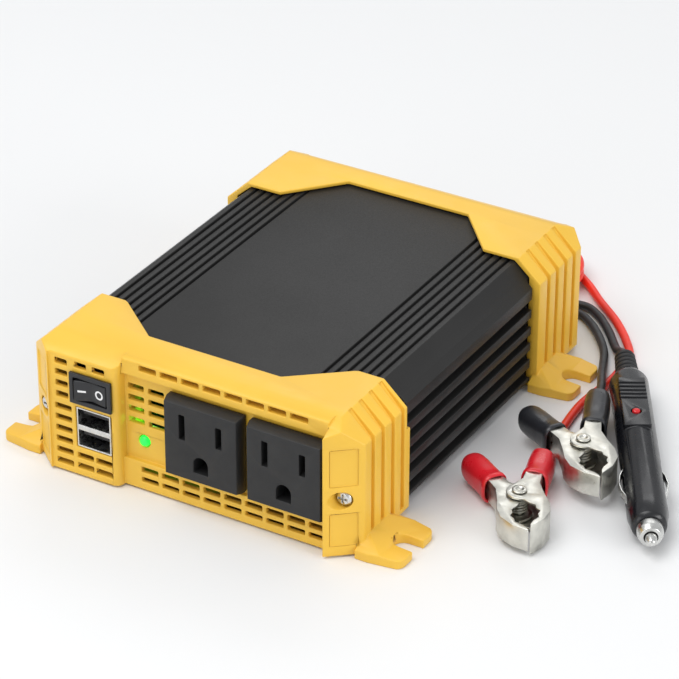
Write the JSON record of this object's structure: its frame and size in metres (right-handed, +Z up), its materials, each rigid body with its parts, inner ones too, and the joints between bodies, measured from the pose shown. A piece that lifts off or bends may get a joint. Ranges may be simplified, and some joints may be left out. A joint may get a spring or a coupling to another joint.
{
  "type": "power inverter",
  "caption": "Finned aluminium inverter case with two end caps, twin outlets, USB socket, rocker switch, fan, battery-clip leads and a vehicle plug lead.",
  "frame": {"origin": "centre of the underside, on the plane that the four feet stand on", "axes": "+X to the right along the outlet face, +Y from the outlet face to the fan end, +Z up"},
  "size_m": [0.2025, 0.1959, 0.0452],
  "materials": {
    "anodised_aluminium": "satin charcoal anodised",
    "yellow_plastic": "satin moulded",
    "charcoal_plastic": "satin moulded",
    "black_plastic": "satin moulded",
    "brass": "bright",
    "steel": "nickel plated",
    "clip_steel": "zinc plated pressed sheet",
    "green_lens": "glowing",
    "circuit_board": "solder mask",
    "ferrite": "sintered",
    "copper_wire": "enamelled",
    "red_plastic": "gloss",
    "red_grip": "soft PVC",
    "black_grip": "soft PVC",
    "black_rubber": "matt",
    "red_cable": "satin PVC",
    "black_cable": "satin PVC",
    "plug_plastic": "gloss moulded"
  },
  "bodies": {
    "root": {"body_extrusion": "anodised_aluminium", "front_cap": "yellow_plastic", "rear_cap": "yellow_plastic", "outlet_left": "charcoal_plastic", "outlet_right": "charcoal_plastic", "outlet_left_neutral_contact": "brass", "outlet_left_hot_contact": "brass", "outlet_right_neutral_contact": "brass", "outlet_right_hot_contact": "brass", "usb_shell": "steel", "usb_tongue_lower": "black_plastic", "usb_tongue_upper": "black_plastic", "switch_frame": "black_plastic", "led_lens": "green_lens", "cap_screw_front_left": "steel", "cap_screw_front_right": "steel", "cap_screw_rear_left": "steel", "cap_screw_rear_right": "steel", "main_board": "circuit_board", "transformer_core": "ferrite", "transformer_winding": "copper_wire", "capacitor_1": "charcoal_plastic", "capacitor_2": "charcoal_plastic", "transistor_row": "black_plastic", "heat_spreader": "anodised_aluminium", "blade_fuse": "red_plastic", "fan_frame": "black_plastic", "red_clip_fixed_jaw": "clip_steel", "red_clip_rivet": "clip_steel", "red_clip_spring": "clip_steel", "red_clip_fixed_grip": "red_grip", "black_clip_fixed_jaw": "clip_steel", "black_clip_rivet": "clip_steel", "black_clip_spring": "clip_steel", "black_clip_fixed_grip": "black_grip", "red_lead_gland": "black_rubber", "red_lead_in": "red_cable", "red_lead_coil": "red_cable", "red_lead_out": "red_cable", "black_lead_gland": "black_rubber", "black_lead_in": "black_cable", "black_lead_coil": "black_cable", "black_lead_out": "black_cable", "plug_lead_gland": "black_rubber", "plug_lead_in": "black_cable", "plug_lead_coil": "black_cable", "plug_lead_out": "black_cable", "plug_strain_relief": "black_rubber", "plug_body": "plug_plastic", "plug_led": "red_plastic", "plug_collar": "steel"},
    "rocker": {"switch_rocker": "black_plastic"},
    "fan_wheel": {"fan_rotor": "black_plastic"},
    "red_clip_lever": {"red_clip_moving_jaw": "clip_steel", "red_clip_moving_grip": "red_grip"},
    "black_clip_lever": {"black_clip_moving_jaw": "clip_steel", "black_clip_moving_grip": "black_grip"},
    "plug_pin": {"plug_tip_pin": "steel"},
    "plug_contact_left": {"plug_side_contact_left": "steel"},
    "plug_contact_right": {"plug_side_contact_right": "steel"}
  },
  "joints": [
    {"name": "rocker_tilt", "type": "hinge", "parent": "root", "child": "rocker", "pos_m": [-0.03235, -0.0742, 0.0319], "axis": [0, 0, -1], "range_deg": [0, 12]},
    {"name": "fan_spin", "type": "hinge", "parent": "root", "child": "fan_wheel", "pos_m": [0.028, 0.0645, 0.023], "axis": [0, 1, 0], "continuous": true},
    {"name": "red_clip_open", "type": "hinge", "parent": "root", "child": "red_clip_lever", "pos_m": [0.0876, -0.0295, 0.00585], "axis": [0, 0, -1], "range_deg": [0, 18], "stiffness_Nm_per_rad": 0.05},
    {"name": "black_clip_open", "type": "hinge", "parent": "root", "child": "black_clip_lever", "pos_m": [0.0927, 0.0019, 0.00845], "axis": [0, 0, -1], "range_deg": [0, 18], "stiffness_Nm_per_rad": 0.05},
    {"name": "plug_pin_press", "type": "slide", "parent": "root", "child": "plug_pin", "axis": [-0.506, 0.8625, 0], "range_m": [0, 0.003], "stiffness_N_per_m": 300},
    {"name": "plug_left_press", "type": "slide", "parent": "root", "child": "plug_contact_left", "axis": [-0.8625, -0.506, 0], "range_m": [0, 0.0014], "stiffness_N_per_m": 400},
    {"name": "plug_right_press", "type": "slide", "parent": "root", "child": "plug_contact_right", "axis": [0.8625, 0.506, 0], "range_m": [0, 0.0014], "stiffness_N_per_m": 400}
  ]
}
